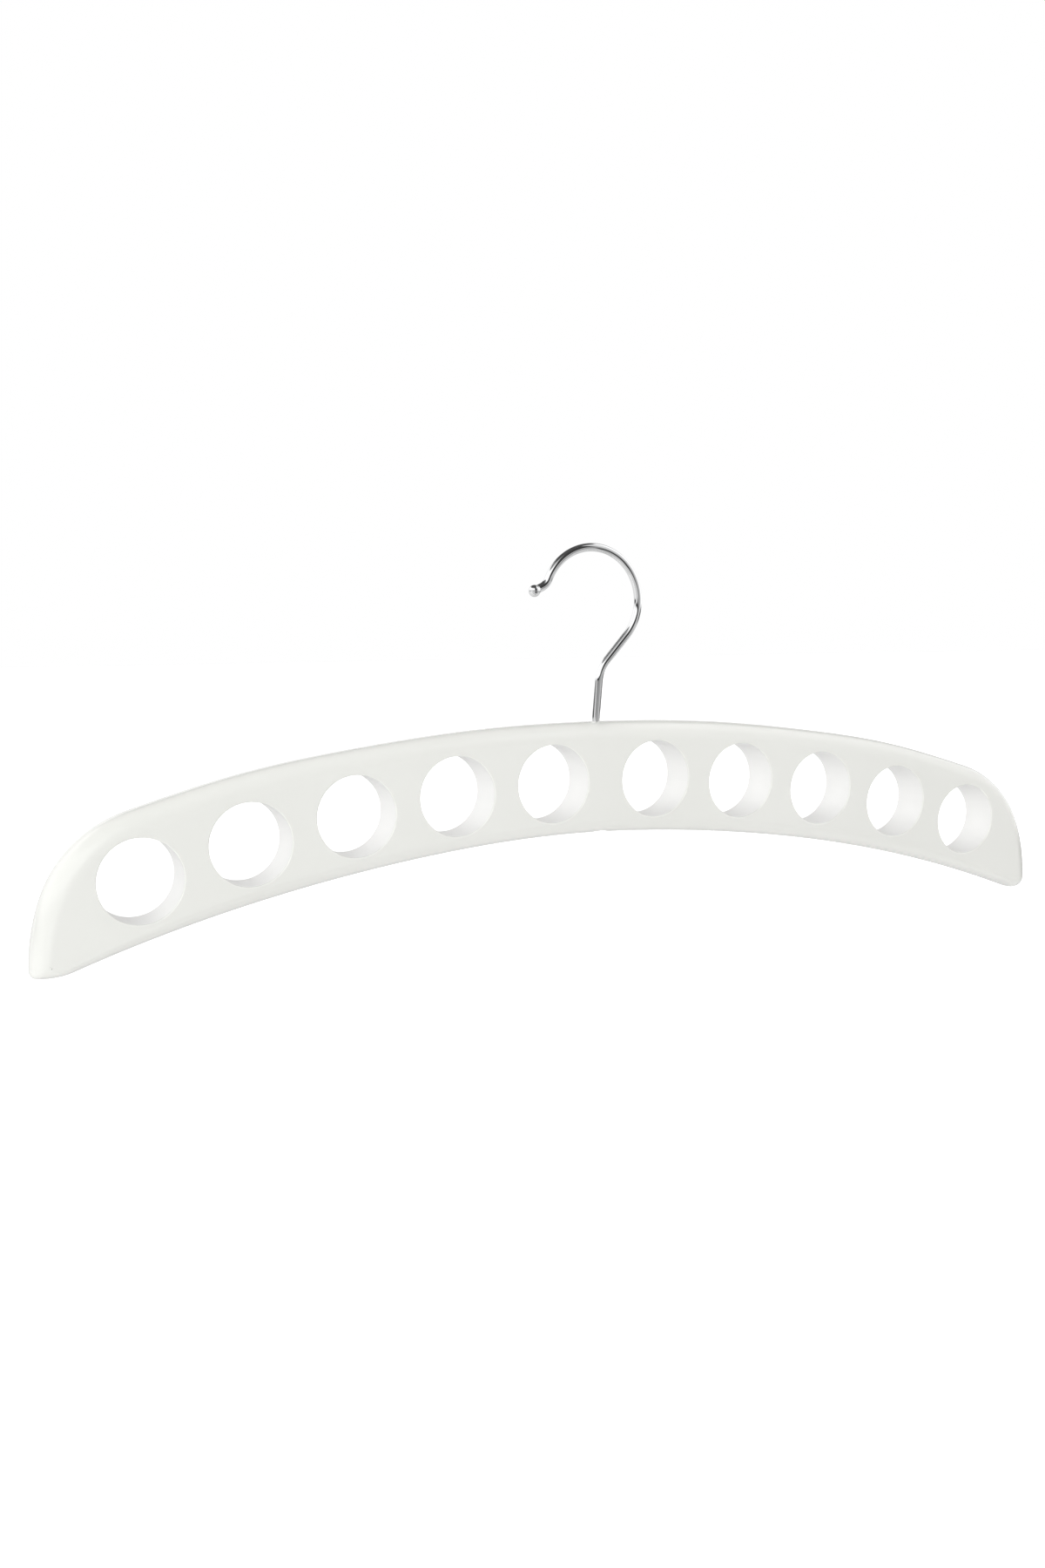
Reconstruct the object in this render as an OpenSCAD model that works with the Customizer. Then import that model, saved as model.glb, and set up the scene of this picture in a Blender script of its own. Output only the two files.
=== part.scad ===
// Scarf hanger: a flat lacquered wooden board with a row of ten round scarf holes,
// and a chromed wire hook that turns in the middle of the board.
// Millimetres. X runs along the board, Y from its front to its back, Z upwards.
// The origin is the inside top of the hook's bow, where a closet rail carries it.

/* [Board] */
// Overall length of the board
board_len = 434; // [410:2:460]
// Thickness of the board, front face to back face
board_t = 17; // [15:0.5:20]
// Radius of the arc that the hole centres and both long edges follow
arc_r = 638; // [580:2:740]
// Distance from the hole row up to the top edge
edge_above = 23; // [22.5:0.5:26]
// Distance from the hole row down to the bottom edge
edge_below = 22; // [21.5:0.5:25]
// Radius of the shoulder, where the top edge turns down
shoulder_r = 45; // [36:1:54]
// Radius of the end edge below the shoulder
end_r = 72; // [64:1:100]
// Radius of the toe, where the bottom edge flattens towards the tip
toe_r = 36; // [20:1:50]
// Radius of the corner at the tip
tip_r = 3.5; // [3.25:0.25:5]

/* [Edge rounding] */
// How far the rounding of the top and end edges reaches into the face
top_round = 6.5; // [4:0.25:6.75]
// How far the rounding of the bottom edge reaches into the face
bottom_round = 5.5; // [4:0.25:6]
// How far the rounding reaches into the face at the tips
tip_round = 3; // [2:0.25:3]
// Distance from a tip over which the rounding grows to its full reach
tip_fade = 60; // [30:1:80]
// Width of the strip left flat along the middle of the edge
edge_land = 3; // [1:0.5:6]

/* [Scarf holes] */
// Number of holes in each half of the board
holes_per_side = 5; // [2:1:5]
// Diameter of a scarf hole
hole_d = 30; // [22:0.5:30]
// Spacing of the holes along the arc
hole_pitch = 40; // [36:0.5:40.5]
// Spacing of the two middle holes, which leaves wood for the hook
centre_gap = 45; // [43:0.5:46]
// Rounding of the hole rims
rim_r = 0.8; // [0.4:0.1:0.9]

/* [Hook] */
// Diameter of the hook wire
wire_d = 3.2; // [2.8:0.1:3.6]
// Radius of the bow, to the middle of the wire
bow_r = 20.5; // [18:0.5:24]
// Angle that the bow turns through
bow_angle = 198; // [185:1:210]
// Radius of the neck bend, to the middle of the wire
neck_r = 13.5; // [10:0.5:18]
// Angle that the neck bends through
neck_angle = 37; // [30:1:45]
// Straight stretch between the neck bend and the bow
slant_len = 13; // [9:0.5:17]
// Straight stretch of the stem, up to the neck bend
stem_len = 13; // [9:0.5:20]
// Lean of the stem towards the neck bend
lean_angle = 5; // [2:0.5:8]
// Radius of the slight bend that gives the stem its lean
lean_r = 25; // [15:1:40]
// Radius of the bend at the tip, to the middle of the wire
curl_r = 5.3; // [4:0.1:7]
// Angle that the tip bends back through
curl_angle = 41; // [30:1:50]
// Straight stretch between the bow and the bend at the tip
curl_gap = 0.6; // [0.4:0.1:2]
// Straight stretch from the bend at the tip to the middle of the ball
ball_reach = 3.5; // [3:0.1:6]
// Diameter of the ball formed on the end of the wire
ball_d = 4.6; // [4:0.1:6]

/* [Swivel] */
// Gap all round between the wire and its bore in the board
bore_gap = 0.08; // [0.04:0.01:0.1]
// Diameter of the recess in the underside of the board
recess_d = 9; // [8.4:0.1:10]
// Depth of the recess, from the underside at the middle of the board
recess_depth = 12; // [10:0.5:16]
// Diameter of the thread on the lower end of the wire
thread_d = 2.5; // [2:0.1:2.6]
// Length of the thread above the washer
thread_run_in = 2; // [1:0.5:4]
// End play of the hook, between the washer and the roof of the recess
end_play = 0.15; // [0.05:0.05:0.3]
// Outside diameter of the washer
washer_d = 7; // [6:0.1:8]
// Thickness of the washer
washer_t = 0.5; // [0.4:0.1:1]
// Lock nut, across the flats
nut_af = 5.5; // [5:0.1:6]
// Lock nut, height of the hexagon
nut_h = 2.6; // [2.2:0.1:3.2]
// Lock nut, chamfer of the hexagon's corners
nut_chamfer = 0.3; // [0.2:0.05:0.5]
// Lock nut, outside diameter of the collar that holds the nylon ring
collar_d = 5; // [4.6:0.1:5]
// Lock nut, height of the collar
collar_h = 1.4; // [1:0.1:1.8]
// Lock nut, wall of the collar
collar_wall = 0.45; // [0.3:0.05:0.6]
// Gap all round between the nylon ring and the collar
ring_gap = 0.05; // [0.03:0.01:0.1]
// Gap all round between the thread and what it passes through
thread_gap = 0.05; // [0.03:0.01:0.1]
// Thread that shows below the lock nut
thread_end = 0.8; // [0.3:0.1:2]

/* [Hidden] */
$fn = 96;
lacquer = [0.93, 0.93, 0.915];
chrome = [0.78, 0.79, 0.8];
zinc = [0.7, 0.72, 0.72];
nylon = [0.85, 0.87, 0.9];

// The hook is a bent wire. These are its corner points, seen from the front,
// measured from the point where it leaves the top edge of the board.
lean_end = lean_r * [1 - cos(lean_angle), sin(lean_angle)];
stem_end = lean_end + stem_len * [sin(lean_angle), cos(lean_angle)];
slant_angle = lean_angle + neck_angle;
neck_rise = sin(slant_angle) - sin(lean_angle);
neck_end = stem_end + neck_r * [cos(lean_angle) - cos(slant_angle), neck_rise];
slant_end = neck_end + slant_len * [sin(slant_angle), cos(slant_angle)];
bow_centre = slant_end + bow_r * [-cos(slant_angle), sin(slant_angle)];

// The rail bears on the inside top of the bow, which is the origin.
rail_room = bow_r - wire_d / 2;
swivel_x = -bow_centre.x;
top_z = -bow_centre.y - rail_room;

// The long edges of the board and its hole row share one centre.
top_r = arc_r + edge_above;
bottom_r = arc_r - edge_below;
arc_z = top_z - top_r;
bottom_z = arc_z + bottom_r;
hole_r = hole_d / 2;

// Right-hand end of the outline, measured from that centre. The toe ends where
// it runs level, straight below the middle of the corner.
end_x = board_len / 2;
corner_x = end_x - tip_r;
toe_centre = [corner_x, sqrt(pow(bottom_r + toe_r, 2) - pow(corner_x, 2))];
corner = toe_centre - [0, toe_r - tip_r];
end_centre = [end_x - end_r, corner.y];
shoulder = crossing(end_centre, end_r - shoulder_r, [0, 0], top_r - shoulder_r);
toe_from = bearing([0, 0], toe_centre);
shoulder_from = bearing(end_centre, shoulder);
shoulder_to = bearing([0, 0], shoulder);

// Where the bends of the wire meet its straights: the bends are a hair fuller,
// and the straights reach a hair into them.
bend_swell = 0.02;
bend_lap = 0.1;

recess_roof = bottom_z + recess_depth;
washer_top = recess_roof - end_play;
washer_bottom = washer_top - washer_t;
nut_bottom = washer_bottom - nut_h;
collar_bottom = nut_bottom - collar_h;
collar_bore = collar_d - 2 * collar_wall;
thread_top = washer_top + thread_run_in;
thread_hole_d = thread_d + 2 * thread_gap;
wire_end = collar_bottom - thread_end;
over = 1;

// Direction from one point to another, in degrees
function bearing(from, to) = atan2(to.y - from.y, to.x - from.x);

// Where two circles cross, to the left of the line from the first centre to the second
function crossing(c1, r1, c2, r2) =
    let (gap = norm(c2 - c1))
    let (along = (r1 * r1 - r2 * r2 + gap * gap) / (2 * gap))
    let (aside = sqrt(r1 * r1 - along * along))
    let (ahead = (c2 - c1) / gap)
    c1 + along * ahead + aside * [-ahead.y, ahead.x];

// How far the edge rounding reaches in at a point of the outline, full away from the tip
function reach_at(point, full) =
    let (near = max(0, 1 - norm(point - corner) / tip_fade))
    full - (full - tip_round) * near * near * (3 - 2 * near);

// Points along an arc of the outline, without its last one. Each is the point itself,
// and the matching point on the flat face, where the edge rounding ends.
function edge_arc(centre, r, from, to, steps, full) =
    [for (i = [0:steps - 1])
        let (a = from + (to - from) * i / steps)
        let (point = centre + abs(r) * [cos(a), sin(a)])
        [point, point - sign(r) * reach_at(point, full) * [cos(a), sin(a)]]];

// Right-hand half of the outline, from the middle of the bottom edge round to the
// middle of the top. As many steps lead up to the middle of the corner as follow it,
// so that the faces can be laddered between the lower and the upper edge.
corner_steps = 8;
bottom_steps = 26;
toe_steps = 4;
end_steps = 3;
shoulder_steps = 9;
top_steps = bottom_steps + toe_steps - end_steps - shoulder_steps;
half_outline = concat(
    edge_arc([0, 0], -bottom_r, 90, toe_from, bottom_steps, bottom_round),
    edge_arc(toe_centre, toe_r, toe_from - 180, -90, toe_steps, bottom_round),
    edge_arc(corner, tip_r, -90, 0, corner_steps, tip_round),
    edge_arc(end_centre, end_r, 0, shoulder_from, end_steps, top_round),
    edge_arc(shoulder, shoulder_r, shoulder_from, shoulder_to, shoulder_steps, top_round),
    edge_arc([0, 0], top_r, shoulder_to, 90, top_steps, top_round),
    edge_arc([0, 0], top_r, 90, 90, 1, top_round)
);
half_count = len(half_outline) - 1;
outline = concat(
    half_outline,
    [for (i = [half_count - 1:-1:1]) [for (p = half_outline[i]) [-p.x, p.y]]]
);

// Section of the edge, from the front face round to the back one. Each entry is
// the share of the rounding's reach that is still left, and the depth in the board.
edge_steps = 6;
edge_section = concat(
    [for (i = [0:edge_steps]) let (a = 90 * i / edge_steps)
        [1 - sin(a), -edge_land / 2 - (board_t - edge_land) / 2 * cos(a)]],
    [for (i = [edge_steps:-1:0]) let (a = 90 * i / edge_steps)
        [1 - sin(a), edge_land / 2 + (board_t - edge_land) / 2 * cos(a)]]
);

// Centre of hole i of the right-hand half, as an angle at the arc's centre, from the middle
function hole_angle(i) = (centre_gap / 2 + i * hole_pitch) / arc_r * 180 / PI;

// Stands a flat outline up: its X stays X, its Y becomes Z
module upright() {
    rotate([90, 0, 0]) children();
}

// The board before drilling: rings of points follow the outline, one for each step
// of the edge section, and the two flat faces close the first and the last ring.
module blank() {
    n = len(outline);
    last = len(edge_section) - 1;
    middle = n / 4;
    points = [for (s = edge_section, p = outline)
        let (xz = p[0] + s[0] * (p[1] - p[0]))
        [xz.x, s[1], xz.y]];
    wall = [for (s = [0:last - 1], i = [0:n - 1])
        let (j = (i + 1) % n)
        [s * n + i, s * n + j, s * n + n + j, s * n + n + i]];
    lower = [for (i = [0:n / 2]) (middle + n - i) % n];
    upper = [for (i = [0:n / 2]) (middle + i) % n];
    front = [for (i = [0:n / 2 - 1])
        i == 0 ? [lower[0], lower[1], upper[1]]
        : i == n / 2 - 1 ? [lower[i], lower[i + 1], upper[i]]
        : [lower[i], lower[i + 1], upper[i + 1], upper[i]]];
    back = [for (face = front) [for (i = [len(face) - 1:-1:0]) last * n + face[i]]];
    polyhedron(points, concat(wall, front, back));
}

// Cutter for one scarf hole, along Y, with both rims rounded. The rounding stands
// a little proud of the faces, which it meets at an angle.
module hole_cutter() {
    proud = rim_r / 16;
    rim_y = board_t / 2 + proud - rim_r;
    upright() rotate_extrude() difference() {
        translate([0, -board_t / 2 - over]) square([hole_r + rim_r, board_t + 2 * over]);
        translate([hole_r, -rim_y]) square([2 * rim_r, 2 * rim_y]);
        for (side = [-1, 1]) translate([hole_r + rim_r, side * rim_y]) circle(r = rim_r);
    }
}

module board() {
    color(lacquer) difference() {
        translate([swivel_x, 0, arc_z]) difference() {
            blank();
            for (side = [-1, 1], i = [0:holes_per_side - 1])
                rotate([0, side * hole_angle(i), 0]) translate([0, 0, arc_r]) hole_cutter();
        }
        translate([swivel_x, 0, recess_roof - over])
            cylinder(h = top_z - recess_roof + 2 * over, d = wire_d + 2 * bore_gap);
        translate([swivel_x, 0, bottom_z - over]) cylinder(h = recess_depth + over, d = recess_d);
    }
}

// A straight stretch of wire, and what follows it
module straight(l) {
    translate([0, 0, -bend_lap]) cylinder(h = l + 2 * bend_lap, d = wire_d);
    translate([0, 0, l]) children();
}

// A bend of the wire towards +X (side 1) or -X (side -1), and what follows it
module bend(r, angle, side) {
    from = side > 0 ? 180 - angle : 0;
    translate([side * r, 0, 0]) {
        upright() rotate([0, 0, from]) rotate_extrude(angle = angle)
            translate([r, 0]) circle(d = wire_d + bend_swell);
        rotate([0, side * angle, 0]) translate([-side * r, 0, 0]) children();
    }
}

module hook() {
    color(chrome) {
        translate([swivel_x, 0, wire_end]) cylinder(h = thread_top + over - wire_end, d = thread_d);
        translate([swivel_x, 0, thread_top]) straight(top_z - thread_top)
            bend(lean_r, lean_angle, 1) straight(stem_len)
            bend(neck_r, neck_angle, 1) straight(slant_len)
            bend(bow_r, bow_angle, -1) straight(curl_gap)
            bend(curl_r, curl_angle, 1) straight(ball_reach)
            sphere(d = ball_d);
    }
}

module washer() {
    color(zinc) translate([swivel_x, 0, washer_bottom]) difference() {
        cylinder(h = washer_t, d = washer_d);
        translate([0, 0, -over]) cylinder(h = washer_t + 2 * over, d = thread_hole_d);
    }
}

module lock_nut() {
    corner_d = nut_af / cos(30);
    face_d = corner_d - 2 * nut_chamfer;
    flare_d = face_d + 4 * nut_h;
    color(zinc) translate([swivel_x, 0, nut_bottom]) difference() {
        union() {
            intersection() {
                cylinder(h = nut_h, d = corner_d, $fn = 6);
                cylinder(h = nut_h, d1 = face_d, d2 = flare_d);
                cylinder(h = nut_h, d1 = flare_d, d2 = face_d);
            }
            translate([0, 0, -collar_h]) cylinder(h = collar_h + over, d = collar_d);
        }
        translate([0, 0, -collar_h - over]) cylinder(h = collar_h + over, d = collar_bore);
        translate([0, 0, -over]) cylinder(h = nut_h + 2 * over, d = thread_hole_d);
    }
}

module nut_ring() {
    color(nylon) translate([swivel_x, 0, collar_bottom]) difference() {
        cylinder(h = collar_h, d = collar_bore - 2 * ring_gap);
        translate([0, 0, -over]) cylinder(h = collar_h + 2 * over, d = thread_hole_d);
    }
}

board();
hook();
washer();
lock_nut();
nut_ring();
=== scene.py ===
"""The looks of the scarf hanger: gloss white lacquer, a bright chromed wire hook, white studio."""

import math

import bpy
from mathutils import Matrix, Vector
from mathutils.geometry import delaunay_2d_cdt


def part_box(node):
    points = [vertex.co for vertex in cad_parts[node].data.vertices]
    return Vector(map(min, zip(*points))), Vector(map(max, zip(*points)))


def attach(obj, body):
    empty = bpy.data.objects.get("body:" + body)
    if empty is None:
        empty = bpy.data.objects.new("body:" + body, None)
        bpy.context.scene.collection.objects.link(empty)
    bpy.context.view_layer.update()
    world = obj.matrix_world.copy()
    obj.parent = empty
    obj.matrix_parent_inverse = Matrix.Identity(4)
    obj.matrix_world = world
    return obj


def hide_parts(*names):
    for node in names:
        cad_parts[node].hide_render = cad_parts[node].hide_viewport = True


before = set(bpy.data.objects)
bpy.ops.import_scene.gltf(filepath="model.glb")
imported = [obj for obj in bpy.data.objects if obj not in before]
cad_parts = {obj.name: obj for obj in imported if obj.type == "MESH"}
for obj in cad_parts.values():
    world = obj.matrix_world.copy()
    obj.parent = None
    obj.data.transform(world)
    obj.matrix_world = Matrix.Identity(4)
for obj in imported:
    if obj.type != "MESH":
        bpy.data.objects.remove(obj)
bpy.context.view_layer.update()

# Sizes in millimetres, in the hanger's own frame: X along the board, Y to its back, Z up.
MM = 0.001

# Hook: one wire that leans, then runs through the stem, neck, slant, bow and curl to the ball
WIRE_R = 1.6
WIRE_SIDES = 64
BEND_STEP = 1.5
STRAIGHT_STEPS = 6
SHANK_STEPS = 12
BOW_R = 20.5
BOW_ANGLE = 198
NECK_R = 13.5
NECK_ANGLE = 37
SLANT_LEN = 13
STEM_LEN = 13
LEAN_ANGLE = 5
LEAN_R = 25
CURL_R = 5.3
CURL_ANGLE = 41
CURL_GAP = 0.6
BALL_REACH = 3.5
BALL_R = 2.3
BALL_FILLET = 1.1
BALL_STEPS = 44

# Thread on the wire's lower end, its chamfer, and how the wire widens above it: (height, radius)
THREAD_R = 1.25
THREAD_PITCH = 0.45
THREAD_DEPTH = 0.14
THREAD_RUN_IN = 2.15
THREAD_STEPS = 12
CHAMFER_LEN = 0.6
CHAMFER_FLAT = 0.35
CHAMFER_CUT = 0.28
WIDENING = ((0, THREAD_R - THREAD_DEPTH), (0.02, 1.4), (0.2, WIRE_R), (0.3, WIRE_R))

# Board
BOARD_T = 17
ARC_R = 638
TOP_R = 661
BOTTOM_R = 616
SHOULDER_R = 45
END_R = 72
LEFT_X = 216.7
LEFT_TIP_R = 2.2
LEFT_TOE_R = 30
LEFT_CORNER_Z = 582.6
RIGHT_X = 218.2
RIGHT_TIP_R = 5
ARC_STEP = 2.0
ARC_TURN = math.radians(5)

# The real edges stray a little from plain arcs: height, middle and run of each swelling, along X
SHOULDER_SWELL = (1.0, 140, 35)
CROWN_DIP = (-0.45, 0, 45)
BELLY_RISE = (1.05, -18, 60)

# Rounding of the edge: how far it reaches into the face at each place, and how far from the corner
# it is full. A flat land is left along the middle of the edge.
TOP_ROUND = 6.95
BOTTOM_ROUND = 5.6
END_ROUND = 6.4
TOE_ROUND = 2.4
END_FADE = 30
TIP_FADE = 70
EDGE_LAND = 1.6
SECTION_STEPS = 12
SECTION_H = (BOARD_T - EDGE_LAND) / 2

# Inside each corner, the roundings of the bottom edge and of the end meet in one soft point
MEET_INSET = 0.5
MEET_LIFT = 2.5
MEET_RUN = 9
MEET_SPREAD = 0.25

# Scarf holes, each with a rounded rim at both faces
HOLE_R = 15
HOLE_PITCH = 40
CENTRE_GAP = 45
HOLES_PER_SIDE = 5
HOLE_SIDES = 120
RIM_R = 0.6
RIM_STEPS = 5
RIM_GAP = 0.15
WALL_STEPS = 8

# Bore for the wire and recess for its nut
BORE_R = 1.68
RECESS_R = 4.5
RECESS_DEPTH = 12
RECESS_BEVEL = 0.4
BORE_SIDES = 48

# The edge is left open round the mouths of the bore and the recess, and filled in: how far along X,
# how many outline points are looked at each way, the section's steps, and rings of loose points
BORE_REACH = 5
RECESS_REACH = 7
MOUTH_SEARCH = 40
MOUTH_FROM = SECTION_STEPS // 3
MOUTH_TO = 2 * SECTION_STEPS + 1 - MOUTH_FROM
BORE_RINGS = (1.08, 1.25, 1.5)
RECESS_RINGS = (1.08, 1.22)

# Materials of the board, by slot
LACQUER, BARE_WOOD, HOLE_LACQUER = 0, 1, 2

# Colours: the darker and the lighter tone of each, or the one tone of a metal
LACQUER_TONES = (0.883, 0.881, 0.843), (0.9, 0.897, 0.861)
HOLE_TONES = (0.885, 0.88, 0.87), (0.9, 0.895, 0.885)
BEECH_TONES = (0.52, 0.35, 0.2), (0.68, 0.5, 0.32)
NYLON_TONES = (0.6, 0.66, 0.74), (0.72, 0.77, 0.83)
CHROME = (0.9, 0.905, 0.91)
ZINC = (0.72, 0.74, 0.76)


def bearing(start, end):
    return math.atan2(end[1] - start[1], end[0] - start[0])


def crossing(c1, r1, c2, r2, side):
    """Where two circles cross. side is 1 for the crossing left of the line from c1 to c2."""
    gap = math.dist(c1, c2)
    along = (r1 * r1 - r2 * r2 + gap * gap) / (2 * gap)
    aside = side * math.sqrt(r1 * r1 - along * along)
    ux, uy = (c2[0] - c1[0]) / gap, (c2[1] - c1[1]) / gap
    return (c1[0] + along * ux - aside * uy, c1[1] + along * uy + aside * ux)


def hook_path():
    """The bent wire's centreline from the board's top edge up to the middle of the ball, and the
    middle of the bow, both from where the wire leaves the plain top edge. Each entry of the path
    is (x, z, heading), with the heading in radians from vertical towards +X."""
    x, z, a = 0.0, 0.0, 0.0
    path = [(x, z, a)]

    def straight(length, steps):
        nonlocal x, z
        for _ in range(steps):
            x += length / steps * math.sin(a)
            z += length / steps * math.cos(a)
            path.append((x, z, a))

    def bend(radius, degrees, side):
        nonlocal x, z, a
        cx, cz = x + side * radius * math.cos(a), z - side * radius * math.sin(a)
        steps = max(3, round(degrees / BEND_STEP))
        for _ in range(steps):
            a += side * math.radians(degrees) / steps
            x, z = cx - side * radius * math.cos(a), cz + side * radius * math.sin(a)
            path.append((x, z, a))
        return cx, cz

    bend(LEAN_R, LEAN_ANGLE, 1)
    straight(STEM_LEN, STRAIGHT_STEPS)
    bend(NECK_R, NECK_ANGLE, 1)
    straight(SLANT_LEN, STRAIGHT_STEPS)
    bow_centre = bend(BOW_R, BOW_ANGLE, -1)
    straight(CURL_GAP, 1)
    bend(CURL_R, CURL_ANGLE, 1)
    straight(BALL_REACH, 1)
    return path, bow_centre


PATH, BOW_CENTRE = hook_path()
SWIVEL_X = -BOW_CENTRE[0]
TOP_Z = -BOW_CENTRE[1] - (BOW_R - WIRE_R)
ARC_Z = TOP_Z - TOP_R


class Sheet:
    """A mesh in the making: points, faces, and the true surface normal at each corner of each face."""

    def __init__(self):
        self.points = []
        self.faces = []
        self.normals = []
        self.slots = []

    def point(self, x, y, z):
        self.points.append((x * MM, y * MM, z * MM))
        return len(self.points) - 1

    def face(self, corners, normals, slot=0):
        """corners run either way round: the face is turned to look along its normals."""
        a, b, c = (Vector(self.points[i]) for i in corners[:3])
        out = sum((Vector(n) for n in normals), Vector())
        if (b - a).cross(c - a).dot(out) < 0:
            corners, normals = corners[::-1], normals[::-1]
        self.faces.append(corners)
        self.normals.append(normals)
        self.slots.append(slot)

    def build(self, name, materials, body, node):
        mesh = bpy.data.meshes.new(name)
        mesh.from_pydata(self.points, [], self.faces)
        for material in materials:
            mesh.materials.append(material)
        mesh.polygons.foreach_set("material_index", self.slots)
        mesh.shade_smooth()
        mesh.normals_split_custom_set([Vector(n).normalized() for ns in self.normals for n in ns])
        mesh.validate()
        piece = bpy.data.objects.new(name, mesh)
        bpy.context.scene.collection.objects.link(piece)
        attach(piece, body)
        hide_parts(node)
        return piece


def hole_centres():
    """Middles of the scarf holes, from the arcs' centre."""
    steps = [CENTRE_GAP / 2 + i * HOLE_PITCH for i in range(HOLES_PER_SIDE)]
    turns = [side * step / ARC_R for side in (-1, 1) for step in steps]
    return [(ARC_R * math.sin(a), ARC_R * math.cos(a)) for a in turns]


def swelling(x, height, middle, run):
    return height * math.exp(-((x - middle) / run) ** 2)


def edge_shift(x, top):
    """How far the real board's top or bottom edge lies above its plain arc at x."""
    if top:
        return swelling(abs(x), *SHOULDER_SWELL) + swelling(x, *CROWN_DIP)
    return swelling(x, *BELLY_RISE)


def half_arcs(end_x, tip_r, toe_r, corner):
    """The tangent arcs of one half of the outline, drawn as a right-hand half, from the middle of
    the bottom edge round to the middle of the top: (part, centre, radius, way, start and end
    bearing). The way is -1 for the belly, which curves inwards. A toe_r of 0 leaves out the toe."""
    toe = crossing(corner, toe_r - tip_r, (0, 0), BOTTOM_R + toe_r, -1) if toe_r else corner
    end_centre = (end_x - END_R, corner[1])
    shoulder = crossing(end_centre, END_R - SHOULDER_R, (0, 0), TOP_R - SHOULDER_R, 1)
    toe_at = bearing((0, 0), toe)
    corner_from = bearing(toe, corner) if toe_r else toe_at - math.pi
    shoulder_from = bearing(end_centre, shoulder)
    shoulder_to = bearing((0, 0), shoulder)
    arcs = [("belly", (0, 0), BOTTOM_R, -1, math.pi / 2, toe_at)]
    if toe_r:
        arcs.append(("toe", toe, toe_r, 1, toe_at - math.pi, corner_from))
    arcs += [
        ("corner", corner, tip_r, 1, corner_from, 0),
        ("end", end_centre, END_R, 1, 0, shoulder_from),
        ("shoulder", shoulder, SHOULDER_R, 1, shoulder_from, shoulder_to),
        ("back", (0, 0), TOP_R, 1, shoulder_to, math.pi / 2),
    ]
    return arcs


def rounding_reach(low, run):
    """How far the edge rounding reaches into the face, at a distance of run from the corner."""
    away = min(1, max(0, run / (TIP_FADE if low else END_FADE)))
    full = BOTTOM_ROUND if low else TOP_ROUND
    near = TOE_ROUND if low else END_ROUND
    return near + (full - near) * (1 - (1 - away) ** 2)


def board_half(side, end_x, tip_r, toe_r, corner_z):
    """One half of the board's outline, drawn as a right-hand half, though side is -1 for the left
    one. Each entry is a point of the outline and the point of the flat face where the edge rounding
    starts, both (x, z) from the arcs' centre."""
    corner = (end_x - tip_r, corner_z)
    meet_z = corner_z - tip_r + TOE_ROUND + MEET_INSET + MEET_LIFT
    meet = (end_x - END_ROUND - MEET_INSET, meet_z)
    holes = hole_centres()
    half = []
    for part, centre, radius, way, start, end in half_arcs(end_x, tip_r, toe_r, corner):
        span = abs(end - start)
        steps = max(2, round(span * radius / ARC_STEP), round(span / ARC_TURN))
        for i in range(steps):
            a = start + (end - start) * i / steps
            x, z = centre[0] + radius * math.cos(a), centre[1] + radius * math.sin(a)
            out_x, out_z = way * math.cos(a), way * math.sin(a)
            if part not in ("toe", "corner"):
                z += edge_shift(side * x, part != "belly")
            inner = (meet[0] + MEET_SPREAD * out_x, meet[1] + MEET_SPREAD * out_z)
            if part != "corner":
                run = math.dist((x, z), corner) - tip_r
                room = min(math.dist((x, z), hole) for hole in holes) - HOLE_R - RIM_R - RIM_GAP
                reach = min(room, rounding_reach(part in ("belly", "toe"), run))
                plain = (x - out_x * reach, z - out_z * reach)
                pull = max(0, 1 - run / MEET_RUN) ** 2
                inner = tuple(p + (m - p) * pull for p, m in zip(plain, inner))
            half.append(((x, z), inner))
    top_z = TOP_R + edge_shift(0, True)
    half.append(((0, top_z), (0, top_z - TOP_ROUND)))
    return half


def board_outline():
    """The whole outline, from the middle of the bottom edge round by the right, and the index of
    the middle of its top edge."""
    left = board_half(-1, LEFT_X, LEFT_TIP_R, LEFT_TOE_R, LEFT_CORNER_Z)
    right_z = math.sqrt((BOTTOM_R + RIGHT_TIP_R) ** 2 - (RIGHT_X - RIGHT_TIP_R) ** 2)
    right = board_half(1, RIGHT_X, RIGHT_TIP_R, 0, right_z)
    outline = right + [((-x, z), (-ix, iz)) for (x, z), (ix, iz) in left[-2:0:-1]]
    return outline, len(right) - 1


def edge_section():
    """Steps round the edge from the front face to the back one: (side, angle), where the angle
    is 0 on the flat face and 90 degrees on the land along the middle of the edge."""
    angles = [math.pi / 2 * i / SECTION_STEPS for i in range(SECTION_STEPS + 1)]
    return [(-1, a) for a in angles] + [(1, a) for a in reversed(angles)]


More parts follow.
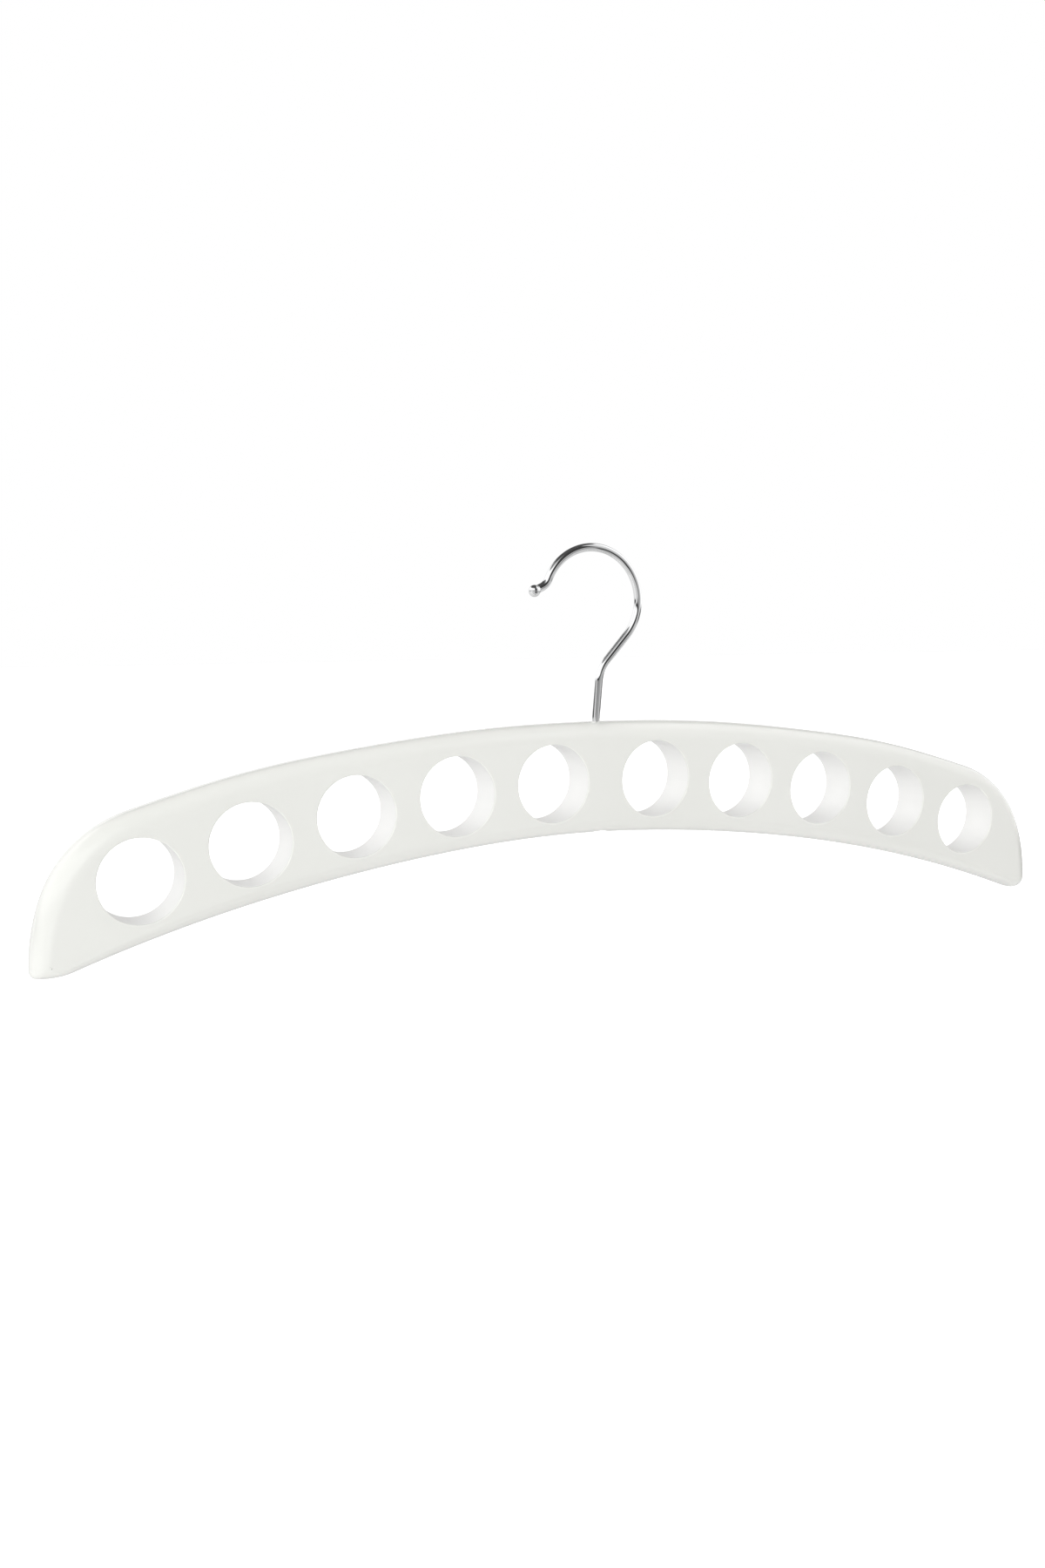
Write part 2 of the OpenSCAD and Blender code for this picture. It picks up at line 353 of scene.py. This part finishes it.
def edge_grid(outline, section):
    """Points and normals of the rounded edge: one row for each step of the section."""
    n = len(outline)

    def step_along(k):
        runs = []
        for i in range(n):
            (x0, z0), (x1, z1) = outline[i - 1][k], outline[(i + 1) % n][k]
            runs.append((x1 - x0, z1 - z0))
        return runs

    outer_run, inner_run = step_along(0), step_along(1)
    grid = []
    for side, a in section:
        share = 1 - math.sin(a)
        y = side * (EDGE_LAND / 2 + SECTION_H * math.cos(a))
        row = []
        for i, ((ox, oz), (ix, iz)) in enumerate(outline):
            point = (ox + (ix - ox) * share, y, oz + (iz - oz) * share)
            along = Vector((outer_run[i][0] + (inner_run[i][0] - outer_run[i][0]) * share, 0,
                            outer_run[i][1] + (inner_run[i][1] - outer_run[i][1]) * share))
            over = Vector(((ox - ix) * math.cos(a), -side * SECTION_H * math.sin(a), (oz - iz) * math.cos(a)))
            normal = along.cross(over).normalized()
            outwards = Vector((ox - ix, side * SECTION_H * math.cos(a), oz - iz))
            row.append((point, normal if normal.dot(outwards) > 0 else -normal))
        grid.append(row)
    return grid


def top_or_bottom(x, y, top):
    """Height and normal of the top or the bottom edge near the middle of the board."""
    reach = TOP_ROUND if top else BOTTOM_ROUND
    over = max(0, abs(y) - EDGE_LAND / 2)
    a = math.acos(min(1, over / SECTION_H))
    way = 1 if top else -1
    radius = (TOP_R if top else BOTTOM_R) - way * reach * (1 - math.sin(a))
    z = math.sqrt(radius * radius - x * x)
    out = way * math.sin(a) / reach
    depth = math.copysign(math.cos(a) / SECTION_H, y)
    return z + edge_shift(x, top), (x / radius * out, depth, z / radius * out)


def circle_angles(count):
    return [2 * math.pi * i / count for i in range(count)]


def inside(point, loop):
    """Whether a 2-D point lies in a closed loop of points."""
    x, y = point
    odd = False
    for (x1, y1), (x2, y2) in zip(loop, loop[1:] + loop[:1]):
        if (y1 > y) != (y2 > y) and x < (x2 - x1) * (y - y1) / (y2 - y1) + x1:
            odd = not odd
    return odd


def fill(loops, extra=()):
    """Triangles inside the first closed 2-D loop and outside the others, which are round holes.
    extra are loose points between them. The triangles are index triples into all the points."""
    flat, edges, owner = [], [], []
    for number, loop in enumerate(loops):
        first = len(flat)
        flat += loop
        owner += [number] * len(loop)
        edges += [(first + i, first + (i + 1) % len(loop)) for i in range(len(loop))]
    flat += extra
    owner += [-1] * len(extra)
    out = delaunay_2d_cdt([Vector(p) for p in flat], edges, [], 0, 1e-7)
    points, faces, origin = out[0], out[2], out[3]
    if len(points) != len(flat):
        raise ValueError("the loops of a flat face touch")
    triangles = []
    for face in faces:
        corners = [origin[i][0] for i in face]
        owners = {owner[i] for i in corners}
        in_hole = len(owners) == 1 and owners.pop() > 0
        middle = sum((points[i] for i in face), Vector((0, 0))) / len(face)
        if not in_hole and inside(middle, loops[0]):
            triangles.append(corners)
    return triangles


def place(sheet, x, y, z):
    """A point given from the centre of the board's arcs."""
    return sheet.point(SWIVEL_X + x, y, ARC_Z + z)


def mouth_spans(outline, top_at):
    """Where the edge is left open, in the middle of the top edge for the bore and of the bottom
    edge for the recess: (top, first outline point, number of steps, radius of the mouth)."""
    n = len(outline)
    bore = (True, top_at, BORE_REACH, BORE_R)
    recess = (False, 0, RECESS_REACH, RECESS_R + RECESS_BEVEL)
    near = range(-MOUTH_SEARCH, MOUTH_SEARCH + 1)
    spans = []
    for top, at, reach_x, mouth_r in (bore, recess):
        span = [i for i in near if abs(outline[(at + i) % n][0][0]) <= reach_x]
        spans.append((top, (at + span[0]) % n, len(span) - 1, mouth_r))
    return spans


def add_edge(sheet, outline, spans):
    """The rounded edge all round the board, but for the open stretches. Gives the indices and the
    normals of its points, one row for each step of the section."""
    n = len(outline)
    grid, normals = [], []
    for row in edge_grid(outline, edge_section()):
        grid.append([place(sheet, *point) for point, _ in row])
        normals.append([normal for _, normal in row])
    left_open = set()
    for _, start, count, _ in spans:
        left_open |= {(s, (start + i) % n) for s in range(MOUTH_FROM, MOUTH_TO) for i in range(count)}
    for s in range(len(grid) - 1):
        for i in range(n):
            if (s, i) in left_open:
                continue
            j = (i + 1) % n
            ring = [(s, i), (s, j), (s + 1, j), (s + 1, i)]
            sheet.face([grid[p][q] for p, q in ring], [normals[p][q] for p, q in ring])
    return grid, normals


def add_mouth(sheet, grid, normals, span):
    """Fills an open stretch of the edge up to the round mouth in it, and gives the mouth's ring."""
    top, start, count, mouth_r = span
    n = len(grid[0])
    border = [(MOUTH_FROM, (start + i) % n) for i in range(count)]
    border += [(s, (start + count) % n) for s in range(MOUTH_FROM, MOUTH_TO)]
    border += [(MOUTH_TO, (start + i) % n) for i in range(count, 0, -1)]
    border += [(s, start) for s in range(MOUTH_TO, MOUTH_FROM, -1)]
    ids = [grid[s][i] for s, i in border]
    flat = [(sheet.points[k][0] / MM - SWIVEL_X, sheet.points[k][1] / MM) for k in ids]
    loop_normals = [normals[s][i] for s, i in border]
    mouth = [(mouth_r * math.cos(a), mouth_r * math.sin(a)) for a in circle_angles(BORE_SIDES)]
    extra = [(x * k, y * k) for k in (BORE_RINGS if top else RECESS_RINGS) for x, y in mouth]
    for x, y in mouth + extra:
        z, normal = top_or_bottom(x, y, top)
        ids.append(place(sheet, x, y, z))
        loop_normals.append(normal)
    for tri in fill([flat, mouth], extra):
        sheet.face([ids[k] for k in tri], [loop_normals[k] for k in tri])
    return ids[len(flat):len(flat) + BORE_SIDES]


def add_bore(sheet, top_ring, bottom_ring):
    """The wire's bore, the roof and the wall of the nut's recess, and the bevel at its mouth."""
    turn = circle_angles(BORE_SIDES)

    def ring_at(radius, height):
        circle = [(radius * math.cos(a), radius * math.sin(a)) for a in turn]
        return [place(sheet, x, y, height(x, y)) for x, y in circle]

    def roof_z(x, y):
        return BOTTOM_R + RECESS_DEPTH

    def bevel_z(x, y):
        return top_or_bottom(x, y, False)[0] + RECESS_BEVEL

    def wall(upper, lower, along, slot):
        for i, a in enumerate(turn):
            j = (i + 1) % len(turn)
            normals = [along(a), along(turn[j]), along(turn[j]), along(a)]
            sheet.face([upper[i], upper[j], lower[j], lower[i]], normals, slot)

    def inwards(a):
        return (-math.cos(a), -math.sin(a), 0)

    def bevel(a):
        return (-math.cos(a), -math.sin(a), -1)

    bore_low = ring_at(BORE_R, roof_z)
    roof = ring_at(RECESS_R, roof_z)
    recess_low = ring_at(RECESS_R, bevel_z)
    wall(top_ring, bore_low, inwards, BARE_WOOD)
    wall(bore_low, roof, lambda a: (0, 0, -1), BARE_WOOD)
    wall(roof, recess_low, inwards, BARE_WOOD)
    wall(recess_low, bottom_ring, bevel, LACQUER)


def hole_profile():
    """A hole's wall with its rounded rims, from the front face to the back one: (radius, y, and the
    inward and the depth share of the normal)."""
    straight = BOARD_T / 2 - RIM_R
    rim = []
    for i in range(RIM_STEPS + 1):
        a = math.pi / 2 * i / RIM_STEPS
        radius = HOLE_R + RIM_R * (1 - math.sin(a))
        rim.append((radius, -straight - RIM_R * math.cos(a), math.sin(a), -math.cos(a)))
    wall_ys = [straight * (2 * i / WALL_STEPS - 1) for i in range(1, WALL_STEPS)]
    back = [(r, -y, inward, -depth) for r, y, inward, depth in reversed(rim)]
    return rim + [(HOLE_R, y, 1, 0) for y in wall_ys] + back


def add_hole(sheet, cx, cz):
    """One scarf hole. Gives its ring on the front face and its ring on the back one."""
    turn = circle_angles(HOLE_SIDES)
    profile = hole_profile()
    rings = []
    for r, y, _, _ in profile:
        rings.append([place(sheet, cx + r * math.cos(a), y, cz + r * math.sin(a)) for a in turn])
    for k in range(len(profile) - 1):
        on_rim = k < RIM_STEPS or k >= len(profile) - 1 - RIM_STEPS
        for i, a in enumerate(turn):
            j = (i + 1) % len(turn)
            b = turn[j]
            normals = []
            for m, t in ((k, a), (k, b), (k + 1, b), (k + 1, a)):
                inward, depth = profile[m][2:]
                normals.append((-inward * math.cos(t), depth, -inward * math.sin(t)))
            corners = [rings[k][i], rings[k][j], rings[k + 1][j], rings[k + 1][i]]
            sheet.face(corners, normals, LACQUER if on_rim else HOLE_LACQUER)
    return rings[0], rings[-1]


def add_face(sheet, side, loops):
    """The flat front (side -1) or back face. The first loop is its outline, the others its holes."""
    flat = [[(sheet.points[k][0], sheet.points[k][2]) for k in loop] for loop in loops]
    ids = [k for loop in loops for k in loop]
    for tri in fill(flat):
        sheet.face([ids[k] for k in tri], [(0, side, 0)] * 3)


def build_board(lacquer, bare_wood, hole_lacquer):
    """The board as one lacquered skin, with the bare wood of its bore and recess."""
    outline, top_at = board_outline()
    spans = mouth_spans(outline, top_at)
    sheet = Sheet()
    grid, normals = add_edge(sheet, outline, spans)
    mouths = [add_mouth(sheet, grid, normals, span) for span in spans]
    add_bore(sheet, *mouths)
    holes = [add_hole(sheet, cx, cz) for cx, cz in hole_centres()]
    add_face(sheet, -1, [grid[0]] + [front for front, _ in holes])
    add_face(sheet, 1, [grid[-1]] + [back for _, back in holes])
    skins = [lacquer, bare_wood, hole_lacquer]
    return sheet.build("board_lacquered", skins, "board", "board")


def ball_radius(s):
    """Radius of the wire at distance s along its last straight, where it swells into the ball."""
    t = s - BALL_REACH
    ball = math.sqrt(max(0, BALL_R ** 2 - t * t))
    if t > 0:
        return ball
    # A fillet runs from the wire onto the ball, tangent to both.
    far = BALL_R + BALL_FILLET
    fillet_t = -math.sqrt(far ** 2 - (WIRE_R + BALL_FILLET) ** 2)
    touch = fillet_t * BALL_R / far
    if t >= touch:
        return ball
    if t > fillet_t:
        return WIRE_R + BALL_FILLET - math.sqrt(BALL_FILLET ** 2 - (t - fillet_t) ** 2)
    return WIRE_R


def thread_rings(wire_end, thread_top):
    """A helix of rounded ridges, with a chamfer at the end of the wire."""
    rings = []
    z = wire_end
    while z < thread_top:
        lead = min(1, (z - wire_end + CHAMFER_FLAT) / CHAMFER_LEN)
        core = THREAD_R * (1 - CHAMFER_CUT * (1 - lead))
        radii = []
        for i in range(WIRE_SIDES):
            turns = (z - wire_end) / THREAD_PITCH + i / WIRE_SIDES
            valley = 0.5 + 0.5 * math.cos(2 * math.pi * turns)
            radii.append(core - THREAD_DEPTH * valley * lead)
        rings.append((0, z - TOP_Z, 0, radii))
        z += THREAD_PITCH / THREAD_STEPS
    return rings


def wire_rings(wire_end, thread_top):
    """Every ring of the wire, from the end of its thread to the ball: (x, z, heading, radii)."""
    rings = thread_rings(wire_end, thread_top)
    for lift, radius in WIDENING:
        rings.append((0, thread_top + lift - TOP_Z, 0, [radius] * WIRE_SIDES))
    low = rings[-1][1]
    for i in range(1, SHANK_STEPS):
        rings.append((0, low * (1 - i / SHANK_STEPS), 0, [WIRE_R] * WIRE_SIDES))
    for x, z, a in PATH[:-1]:
        rings.append((x, z, a, [WIRE_R] * WIRE_SIDES))
    x, z, a = PATH[-2]
    for i in range(1, BALL_STEPS):
        s = (BALL_REACH + BALL_R) * math.sin(math.pi / 2 * i / BALL_STEPS)
        rings.append((x + s * math.sin(a), z + s * math.cos(a), a, [ball_radius(s)] * WIRE_SIDES))
    return rings


def add_cap(sheet, ring, middle, normal):
    """Closes an end of the wire with a fan of triangles."""
    for i in range(len(ring)):
        j = (i + 1) % len(ring)
        sheet.face([ring[i], ring[j], middle], [normal] * 3)


def build_hook(chrome):
    """One wire from the thread in the recess up through the board, round the bow, to the ball."""
    washer_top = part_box("washer")[1].z / MM
    wire_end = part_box("hook")[0].z / MM
    rings = wire_rings(wire_end, washer_top + THREAD_RUN_IN)
    turn = circle_angles(WIRE_SIDES)
    sheet = Sheet()
    ids = []
    for x, z, a, radii in rings:
        row = []
        for r, t in zip(radii, turn):
            across, deep = r * math.cos(t), r * math.sin(t)
            px = SWIVEL_X + x + across * math.cos(a)
            pz = TOP_Z + z - across * math.sin(a)
            row.append(sheet.point(px, deep, pz))
        ids.append(row)
    normals = skin_normals(sheet, ids, rings)
    for k in range(len(rings) - 1):
        for i in range(WIRE_SIDES):
            j = (i + 1) % WIRE_SIDES
            ring = [(k, i), (k, j), (k + 1, j), (k + 1, i)]
            sheet.face([ids[p][q] for p, q in ring], [normals[p][q] for p, q in ring])
    x, z, a = PATH[-2]
    reach = BALL_REACH + BALL_R
    wire_foot = sheet.point(SWIVEL_X, 0, wire_end)
    ball_tip = sheet.point(SWIVEL_X + x + reach * math.sin(a), 0, TOP_Z + z + reach * math.cos(a))
    add_cap(sheet, ids[0], wire_foot, (0, 0, -1))
    add_cap(sheet, ids[-1], ball_tip, (math.sin(a), 0, math.cos(a)))
    return sheet.build("hook_wire", [chrome], "hook", "hook")


def skin_normals(sheet, ids, rings):
    """True normals of a swept skin, from the run of its points both ways."""
    normals = []
    for k, row in enumerate(ids):
        before, after = ids[max(0, k - 1)], ids[min(len(ids) - 1, k + 1)]
        x, z, _, _ = rings[k]
        middle = Vector(((SWIVEL_X + x) * MM, 0, (TOP_Z + z) * MM))
        out = []
        for i in range(len(row)):
            round_it = Vector(sheet.points[row[(i + 1) % len(row)]]) - Vector(sheet.points[row[i - 1]])
            along = Vector(sheet.points[after[i]]) - Vector(sheet.points[before[i]])
            normal = round_it.cross(along).normalized()
            if normal.dot(Vector(sheet.points[row[i]]) - middle) < 0:
                normal = -normal
            out.append(normal)
        normals.append(out)
    return normals


class Nodes:
    """Short ways to add shader nodes and join them up."""

    def __init__(self, tree):
        self.tree = tree
        tree.nodes.clear()

    def add(self, kind, inputs=(), **settings):
        node = self.tree.nodes.new(kind)
        for key, value in settings.items():
            setattr(node, key, value)
        for key, value in dict(inputs).items():
            if isinstance(value, bpy.types.NodeSocket):
                self.tree.links.new(value, node.inputs[key])
            else:
                node.inputs[key].default_value = value
        return node

    def math(self, operation, a, b=0.0, c=0.0):
        return self.add("ShaderNodeMath", {0: a, 1: b, 2: c}, operation=operation).outputs[0]

    def spread(self, value, low, high, to_low=0.0, to_high=1.0):
        inputs = {"Value": value, "From Min": low, "From Max": high, "To Min": to_low, "To Max": to_high}
        return self.add("ShaderNodeMapRange", inputs, interpolation_type="SMOOTHSTEP").outputs[0]

    def noise(self, where, scale, detail=2.0, roughness=0.5):
        inputs = {"Vector": where, "Scale": scale, "Detail": detail, "Roughness": roughness}
        return self.add("ShaderNodeTexNoise", inputs).outputs["Fac"]

    def tone(self, share, dark, light):
        """A colour between two tones. Sockets 6 and 7 take the Mix node's two colours, and its
        output 2 gives the mixed one."""
        inputs = {"Factor": share, 6: (*dark, 1), 7: (*light, 1)}
        return self.add("ShaderNodeMix", inputs, data_type="RGBA").outputs[2]

    def bump(self, height, distance, strength, **more):
        inputs = {"Height": height, "Distance": distance, "Strength": strength, **more}
        return self.add("ShaderNodeBump", inputs).outputs[0]


def new_material(name):
    """A material, its nodes, and the place on the object that its patterns follow."""
    material = bpy.data.materials.new(name)
    material.use_nodes = True
    nodes = Nodes(material.node_tree)
    return material, nodes, nodes.add("ShaderNodeTexCoord").outputs["Object"]


def finish_material(nodes, shader):
    nodes.add("ShaderNodeOutputMaterial", {"Surface": shader.outputs[0]})


def lacquer_material(name, tones, rough_from, rough_to, coat):
    """Sprayed white lacquer over sanded wood: a faint unevenness of tone and a skin that is not
    quite flat, with the fine orange peel of sprayed paint."""
    material, nodes, where = new_material(name)
    cloud = nodes.spread(nodes.noise(where, 9, 3), 0.35, 0.65)
    skin = nodes.bump(nodes.noise(where, 38), 0.0008, 0.35)
    peel = nodes.bump(nodes.noise(where, 420), 0.00002, 0.5, Normal=skin)
    rough = nodes.spread(nodes.noise(where, 60, 3), 0.3, 0.7, rough_from, rough_to)
    shader = nodes.add("ShaderNodeBsdfPrincipled", {
        "Base Color": nodes.tone(cloud, *tones), "Roughness": rough, "Normal": peel,
        "IOR": 1.5, "Coat Weight": coat, "Coat Roughness": 0.07, "Coat Normal": peel})
    finish_material(nodes, shader)
    return material


def wood_material():
    """Bare beech where the drill went in after the board was sprayed."""
    material, nodes, where = new_material("bare_wood")
    along = nodes.add("ShaderNodeMapping", {"Vector": where, "Scale": (40, 700, 700)}).outputs[0]
    grain = nodes.noise(along, 1, 6, 0.6)
    shader = nodes.add("ShaderNodeBsdfPrincipled", {
        "Base Color": nodes.tone(grain, *BEECH_TONES), "Roughness": 0.7,
        "Normal": nodes.bump(grain, 0.0001, 0.4)})
    finish_material(nodes, shader)
    return material


def metal_material(name, colour, rough_from, rough_to, scratch):
    """Plated steel: fine scratches and a slightly uneven polish."""
    material, nodes, where = new_material(name)
    polish = nodes.noise(where, 180, 3)
    marks = nodes.noise(where, 2600, 4, 0.65)
    dull = tuple(c * 0.96 for c in colour)
    shader = nodes.add("ShaderNodeBsdfPrincipled", {
        "Base Color": nodes.tone(polish, dull, colour), "Metallic": 1.0,
        "Roughness": nodes.spread(polish, 0.3, 0.7, rough_from, rough_to),
        "Normal": nodes.bump(marks, 0.00001, scratch)})
    finish_material(nodes, shader)
    return material


def nylon_material():
    """Milky nylon with faint flow marks."""
    material, nodes, where = new_material("nylon")
    flow = nodes.noise(where, 900, 3)
    shader = nodes.add("ShaderNodeBsdfPrincipled", {
        "Base Color": nodes.tone(flow, *NYLON_TONES), "Roughness": 0.45,
        "Normal": nodes.bump(flow, 0.00003, 0.4)})
    finish_material(nodes, shader)
    return material


def dress_node(name, material):
    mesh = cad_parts[name].data
    mesh.materials.clear()
    mesh.materials.append(material)


# The studio round the hanger, as regions of the sky. Azimuth 0 is +Y, behind the hanger, and 90 is
# +X, to its right. Each row: azimuth from and to, elevation from and to (degrees), and brightness.
# The first list is the soft light, and the second is what the gloss and the chrome mirror, all the
# way down to the table and the floor.
SOFT = (
    (-180, 0, 52, 91, 0.3),
    (0, 180, 52, 91, 2.0),
    (-181, -150, -20, 52, 0.25),
    (-150, -115, -20, 52, 1.9),
    (-115, -65, -20, 52, 0.6),
    (-65, -20, -20, 52, 1.6),
    (-20, 70, -20, 52, 0.4),
    (70, 130, -20, 52, 0.8),
    (130, 181, -20, 52, 0.25),
)
MIRRORED = (
    # Dark ceiling
    (-180, 180, 60, 91, 0.08),
    # Bright panel at the left, and the dark gap under it
    (-163, -20, 10, 46, 1.15),
    (-163, -85, 46, 60, 0.4),
    (-85, -20, 46, 60, 0.1),
    (-163, -125, 3, 10, 0.03),
    (-125, -95, 5, 10, 0.03),
    (-95, -20, 5, 10, 0.95),
    # Light and dark at the hanger's own height at the left, which stripe the hook's stem
    (-163, -125, -2, 3, 0.35),
    (-125, -92, -2, 5, 0.85),
    (-92, -40, -2, 5, 0.06),
    (-40, -20, -2, 5, 0.9),
    # Pale backdrop behind the hanger, dark above it
    (-20, 0, -2, 30, 0.9),
    (-20, 0, 30, 60, 0.08),
    (0, 40, -6, 22, 0.9),
    (0, 40, 22, 60, 0.1),
    (40, 58, -6, 22, 0.6),
    (40, 58, 22, 60, 0.2),
    # Bright panel at the right
    (58, 118, -3, 60, 1.2),
    (118, 150, -2, 60, 0.75),
    # Dark room behind the camera, paler at its own height
    (150, 181, 4, 60, 0.05),
    (-181, -163, 4, 60, 0.06),
    (150, 181, -12, 4, 0.36),
    (-181, -163, -2, 4, 0.36),
    (150, 181, -40, -12, 0.06),
    (-181, -163, -12, -2, 0.3),
    (-181, -163, -40, -12, 0.08),
    # Dim gap under the right panel
    (58, 118, -12, -3, 0.2),
    (118, 150, -12, -2, 0.6),
    (118, 150, -20, -12, 0.15),
    # Pale table and floor
    (-163, -110, -95, -2, 0.66),
    (-110, -60, -45, -2, 0.9),
    (-110, -60, -95, -45, 0.66),
    (-60, 0, -95, -2, 0.8),
    (0, 58, -95, -6, 0.6),
    (58, 118, -95, -12, 0.7),
    (118, 150, -95, -20, 0.55),
    (150, 181, -95, -40, 0.5),
    (-181, -163, -95, -40, 0.55),
)
SKY_SOFT = 2.5

# Floor: its height and half its width in metres, and its glow for the camera and for all else
FLOOR_Z = -1.4
FLOOR_HALF = 40
FLOOR_LIFT = 0.6
FLOOR_GLOW = 0.1

# One soft lamp at the left of the camera, in metres and watts
LAMP_PLACE = (-0.8, -0.95, 0.12)
LAMP_AIM = (-0.1, 0, -0.1)
LAMP_SIZE = 0.7
LAMP_POWER = 3.75
LAMP_COLOUR = (0.96, 1.0, 0.98)

# The photograph's camera, as fitted to the ten holes: millimetres, radians and pixels
CAMERA_PLACE = (-285.6, -534.7, -23.2)
CAMERA_YAW = 0.4459
CAMERA_PITCH = -0.1105
CAMERA_ROLL = -0.0025
FOCAL_PX = 1780.2
IMAGE_W = 1200


def sky_level(nodes, azimuth, elevation, regions):
    """Brightness of the sky from a list of regions with soft edges."""

    def within(value, low, high):
        rise = nodes.spread(value, low - SKY_SOFT, low + SKY_SOFT)
        fall = nodes.spread(value, high - SKY_SOFT, high + SKY_SOFT, 1, 0)
        return nodes.math("MULTIPLY", rise, fall)

    level = 0.0
    for az_from, az_to, el_from, el_to, brightness in regions:
        share = within(elevation, el_from, el_to + (SKY_SOFT if el_to > 90 else 0))
        if az_to - az_from < 360:
            # A region that ends at the seam behind the camera has no soft edge there.
            past = 10 * SKY_SOFT
            low = az_from - (past if az_from <= -180 else 0)
            high = az_to + (past if az_to >= 180 else 0)
            share = nodes.math("MULTIPLY", share, within(azimuth, low, high))
        level = nodes.math("MULTIPLY_ADD", share, brightness, level)
    return level


def build_world():
    """A white photo studio. The camera itself sees plain white, gloss and chrome see the mirrored
    list, and everything else is lit by the soft list."""
    world = bpy.data.worlds.new("studio")
    bpy.context.scene.world = world
    world.use_nodes = True
    nodes = Nodes(world.node_tree)
    look = nodes.add("ShaderNodeTexCoord").outputs["Generated"]
    split = nodes.add("ShaderNodeSeparateXYZ", {0: look}).outputs
    azimuth = nodes.math("DEGREES", nodes.math("ARCTAN2", split["X"], split["Y"]))
    elevation = nodes.math("DEGREES", nodes.math("ARCSINE", split["Z"]))
    soft = sky_level(nodes, azimuth, elevation, SOFT)
    mirrored = sky_level(nodes, azimuth, elevation, MIRRORED)
    path = nodes.add("ShaderNodeLightPath").outputs
    sharp = nodes.math("MAXIMUM", path["Is Glossy Ray"], path["Is Transmission Ray"])
    level = nodes.math("MULTIPLY_ADD", sharp, nodes.math("SUBTRACT", mirrored, soft), soft)
    level = nodes.math("MULTIPLY_ADD", path["Is Camera Ray"], nodes.math("SUBTRACT", 1.0, level), level)
    background = nodes.add("ShaderNodeBackground", {"Color": (1, 1, 1, 1), "Strength": level})
    nodes.add("ShaderNodeOutputWorld", {"Surface": background.outputs[0]})


def build_lamp():
    """A soft box that lights the hanger from the left. Gloss and chrome don't mirror it."""
    light = bpy.data.lights.new("left_softbox", "AREA")
    light.shape = "SQUARE"
    light.size = LAMP_SIZE
    light.energy = LAMP_POWER
    light.color = LAMP_COLOUR
    lamp = bpy.data.objects.new("left_softbox", light)
    lamp.visible_glossy = False
    lamp.location = LAMP_PLACE
    ahead = Vector(LAMP_AIM) - Vector(LAMP_PLACE)
    lamp.rotation_euler = ahead.to_track_quat("-Z", "Y").to_euler()
    bpy.context.scene.collection.objects.link(lamp)


def build_floor():
    """A pale floor, far below the rail that the hanger hangs from. It takes the hanger's shadow.
    Gloss and chrome don't mirror it: they see the lowest rows of the mirrored list instead."""
    half = FLOOR_HALF
    corners = [(-half, -half), (half, -half), (half, half), (-half, half)]
    mesh = bpy.data.meshes.new("floor")
    mesh.from_pydata([(x, y, FLOOR_Z) for x, y in corners], [], [(0, 1, 2, 3)])
    floor = bpy.data.objects.new("floor", mesh)
    floor.visible_glossy = False
    bpy.context.scene.collection.objects.link(floor)
    material, nodes, _ = new_material("floor")
    diffuse = nodes.add("ShaderNodeBsdfDiffuse", {"Color": (0.8, 0.8, 0.8, 1)})
    path = nodes.add("ShaderNodeLightPath").outputs
    lift = nodes.math("MULTIPLY_ADD", path["Is Camera Ray"], FLOOR_LIFT - FLOOR_GLOW, FLOOR_GLOW)
    glow = nodes.add("ShaderNodeEmission", {"Color": (1, 1, 1, 1), "Strength": lift})
    lit = nodes.add("ShaderNodeAddShader", {0: diffuse.outputs[0], 1: glow.outputs[0]})
    finish_material(nodes, lit)
    mesh.materials.append(material)


def build_camera():
    """The photograph's viewpoint: from the left front, a little above, looking slightly down."""
    spot = Vector(CAMERA_PLACE) * MM
    yaw, pitch, roll = CAMERA_YAW, CAMERA_PITCH, CAMERA_ROLL
    ahead = Vector((math.sin(yaw) * math.cos(pitch), math.cos(yaw) * math.cos(pitch), math.sin(pitch)))
    level = Vector((math.cos(yaw), -math.sin(yaw), 0))
    rise = level.cross(ahead)
    right = math.cos(roll) * level + math.sin(roll) * rise
    up = -math.sin(roll) * level + math.cos(roll) * rise
    data = bpy.data.cameras.new("camera")
    data.sensor_fit = "HORIZONTAL"
    data.sensor_width = 36
    data.lens = FOCAL_PX / IMAGE_W * data.sensor_width
    data.clip_start = 0.02
    data.clip_end = 100
    camera = bpy.data.objects.new("camera", data)
    turn = Matrix((right, up, -ahead)).transposed().to_4x4()
    camera.matrix_world = Matrix.Translation(spot) @ turn
    bpy.context.scene.collection.objects.link(camera)
    bpy.context.scene.camera = camera


chrome = metal_material("chrome", CHROME, 0.03, 0.07, scratch=0.03)
zinc = metal_material("zinc", ZINC, 0.28, 0.42, scratch=0.5)
lacquer = lacquer_material("lacquer", LACQUER_TONES, 0.16, 0.24, coat=0.5)
hole_lacquer = lacquer_material("lacquer_in_holes", HOLE_TONES, 0.38, 0.48, coat=0.0)
build_board(lacquer, wood_material(), hole_lacquer)
build_hook(chrome)
dress_node("washer", zinc)
dress_node("lock_nut", zinc)
dress_node("nut_ring", nylon_material())
build_floor()
build_world()
build_lamp()
build_camera()
bpy.context.scene.view_settings.view_transform = "Standard"
